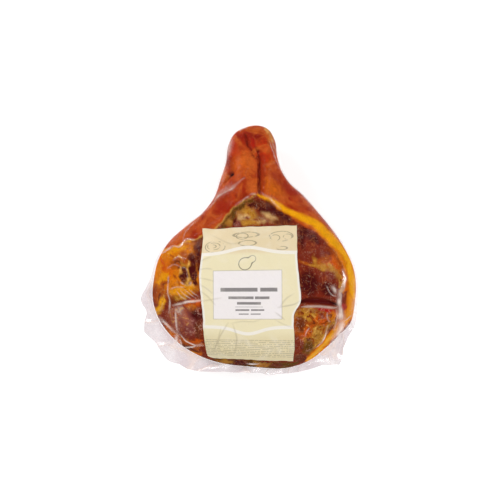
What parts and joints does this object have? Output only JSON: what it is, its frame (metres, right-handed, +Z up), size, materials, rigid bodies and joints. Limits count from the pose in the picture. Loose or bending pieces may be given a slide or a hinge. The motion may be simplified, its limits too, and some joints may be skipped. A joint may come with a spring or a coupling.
{
  "type": "vacuum-packed boneless cured ham",
  "caption": "Pear-shaped boneless cured ham lying on its skin side with the lean face up, sealed in clear film over a plain paper label.",
  "frame": {"origin": "on the surface the ham rests on, under the middle of its length and width", "axes": "+Y towards the shank end, +X to the right of the lean face seen from above, +Z up out of the lean face"},
  "size_m": [0.3336, 0.3876, 0.1044],
  "materials": {
    "cured_meat": "satin",
    "label_paper": "matte",
    "clear_film": "gloss"
  },
  "bodies": {
    "root": {"ham": "cured_meat", "label": "label_paper", "front_film": "clear_film", "back_film": "clear_film"}
  },
  "joints": []
}
